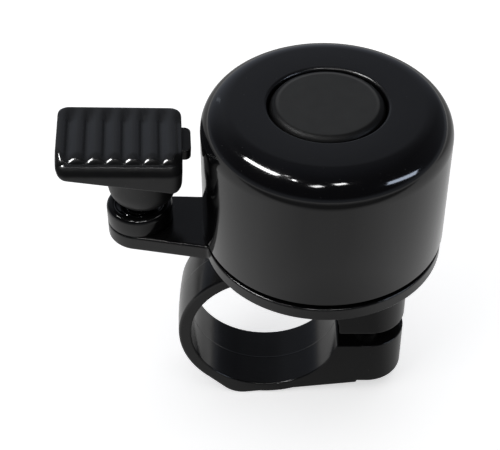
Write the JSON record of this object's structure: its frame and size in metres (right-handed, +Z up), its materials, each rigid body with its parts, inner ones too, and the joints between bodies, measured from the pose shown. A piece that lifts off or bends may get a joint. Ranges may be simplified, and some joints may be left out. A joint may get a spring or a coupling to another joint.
{
  "type": "bicycle bell",
  "caption": "Handlebar bell: a round dome on a moulded base with a hinged clamp band, struck by a ribbed thumb lever that stands on a coil spring.",
  "frame": {"origin": "middle of the bell's bounding box in plan, at the height of the band's lowest point; the handlebar bore's centre is at (1.94, 0, 13.5) mm", "axes": "+Y along the handlebar, +Z up through the dome, -X towards the thumb lever"},
  "size_m": [0.0556, 0.035, 0.0533],
  "materials": {
    "plastic": "satin black moulding",
    "matte": "matte",
    "paint": "gloss black",
    "steel": "zinc plated",
    "dark_steel": "blackened",
    "spring_steel": "oiled black",
    "brass": "plain",
    "rubber": "matte"
  },
  "bodies": {
    "base": {"base": "plastic", "dome": "paint", "dome_cap": "matte", "dome_screw": "steel", "dome_screw_washer": "steel", "dome_lock_washer": "steel", "dome_grommet": "rubber", "post_insert": "brass", "clamp_nut": "steel", "spring_cup": "plastic", "spring_anchor_screw": "steel", "spring_seat_washer": "steel"},
    "strap": {"clamp_strap": "plastic", "clamp_washer": "steel"},
    "clamp_screw": {"clamp_screw": "steel"},
    "spring": {"hammer_spring": "spring_steel"},
    "lever": {"thumb_lever": "plastic", "lever_stud": "steel", "striker": "dark_steel"}
  },
  "joints": [
    {"name": "hammer_sway", "type": "hinge", "parent": "base", "child": "spring", "pos_m": [-0.01661, 0.0021, 0.0339], "axis": [0.997, -0.0778, 0], "range_deg": [-10, 10], "stiffness_Nm_per_rad": 0.15, "deforming": ["hammer_spring"]},
    {"name": "hammer_flick", "type": "hinge", "parent": "spring", "child": "lever", "pos_m": [-0.01661, 0.0021, 0.0339], "axis": [0.0778, 0.997, 0], "range_deg": [-20, 7], "stiffness_Nm_per_rad": 0.15, "deforming": ["hammer_spring"]},
    {"name": "clamp_squeeze", "type": "hinge", "parent": "base", "child": "strap", "pos_m": [-0.01034, 0, 0.0135], "axis": [0, 1, 0], "range_deg": [-3.2, 0], "stiffness_Nm_per_rad": 0.3},
    {"name": "clamp_screw_turn", "type": "hinge", "parent": "strap", "child": "clamp_screw", "pos_m": [0.01794, 0, 0.005], "axis": [0, 0, 1], "range_deg": [-10, 815]}
  ],
  "couplings": [
    {"joint": "clamp_screw_turn", "follows": "clamp_squeeze", "ratio": -253.8}
  ]
}
